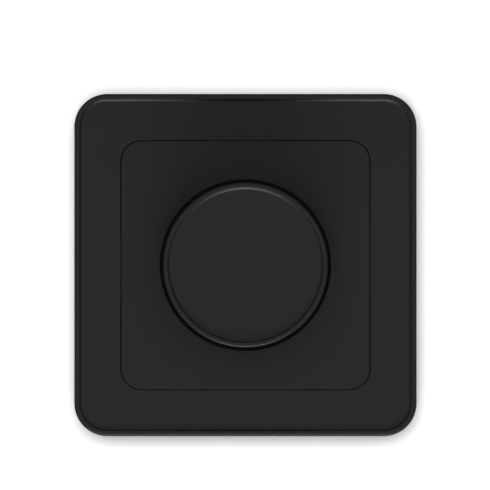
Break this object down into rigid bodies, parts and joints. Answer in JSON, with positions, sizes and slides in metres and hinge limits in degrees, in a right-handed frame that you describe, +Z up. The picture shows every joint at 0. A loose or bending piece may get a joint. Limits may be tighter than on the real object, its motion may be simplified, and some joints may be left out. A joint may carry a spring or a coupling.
{
  "type": "wall dimmer",
  "caption": "Square flush-mounted rotary wall dimmer in matte black, with a raised-rim frame, a centre plate and a round knob that turns to dim and pushes to switch.",
  "frame": {"origin": "centre of the box-screw pattern on the wall's surface, on the knob's axis", "axes": "-Y out of the wall towards the user, +Y into the wall, +Z up, +X to the user's right"},
  "size_m": [0.085, 0.0467, 0.085],
  "materials": {
    "cover_plastic": "fine matte moulded black",
    "spring_steel": "bright spring steel",
    "plated_steel": "zinc plated",
    "bushing_metal": "turned and plated",
    "control_plastic": "moulded",
    "rotor_plastic": "moulded natural",
    "track_wafer": "laminate with a carbon ring",
    "tinned_brass": "bright",
    "housing_plastic": "moulded dark grey",
    "board": "green lacquer",
    "terminal_plastic": "moulded light grey",
    "pad_rubber": "thin silicone sheet",
    "package_plastic": "moulded black",
    "core_powder": "painted powder core",
    "copper_wire": "lacquered copper",
    "capacitor_plastic": "moulded box",
    "capacitor_can": "can in a dark sleeve"
  },
  "bodies": {
    "base": {"cover_frame": "cover_plastic", "centre_plate": "cover_plastic", "bushing_washer": "plated_steel", "bushing_nut": "plated_steel", "control_bushing": "bushing_metal", "pot_case": "control_plastic", "resistive_track": "track_wafer", "pot_pins": "tinned_brass", "switch_case": "control_plastic", "fixed_contacts": "tinned_brass", "support_plate": "plated_steel", "insert_housing": "housing_plastic", "housing_screws": "plated_steel", "circuit_board": "board", "terminal_block": "terminal_plastic", "terminal_clamps": "tinned_brass", "terminal_screws": "plated_steel", "insulating_pad": "pad_rubber", "power_transistors": "package_plastic", "transistor_screws": "plated_steel", "choke_core": "core_powder", "choke_winding": "copper_wire", "film_capacitor": "capacitor_plastic", "smoothing_capacitor": "capacitor_can", "fuse": "package_plastic", "controller_chip": "package_plastic"},
    "plunger": {"switch_plunger": "rotor_plastic", "contact_bridge": "tinned_brass", "plunger_spring": "spring_steel"},
    "knob": {"knob": "cover_plastic", "knob_clip": "spring_steel", "control_shaft": "bushing_metal", "shaft_retaining_ring": "spring_steel"},
    "wiper": {"wiper_rotor": "rotor_plastic", "wiper_contact": "tinned_brass"}
  },
  "joints": [
    {"name": "knob_push", "type": "slide", "parent": "base", "child": "plunger", "axis": [0, 1, 0], "range_m": [0, 0.0012], "stiffness_N_per_m": 2000, "springref_m": -0.001, "deforming": ["plunger_spring"]},
    {"name": "knob_turn", "type": "hinge", "parent": "plunger", "child": "knob", "pos_m": [0, 0, 0], "axis": [0, 1, 0], "range_deg": [-135, 135]},
    {"name": "wiper_turn", "type": "hinge", "parent": "base", "child": "wiper", "pos_m": [0, 0, 0], "axis": [0, 1, 0], "range_deg": [-135, 135]}
  ],
  "couplings": [
    {"joint": "wiper_turn", "follows": "knob_turn", "ratio": 1}
  ]
}
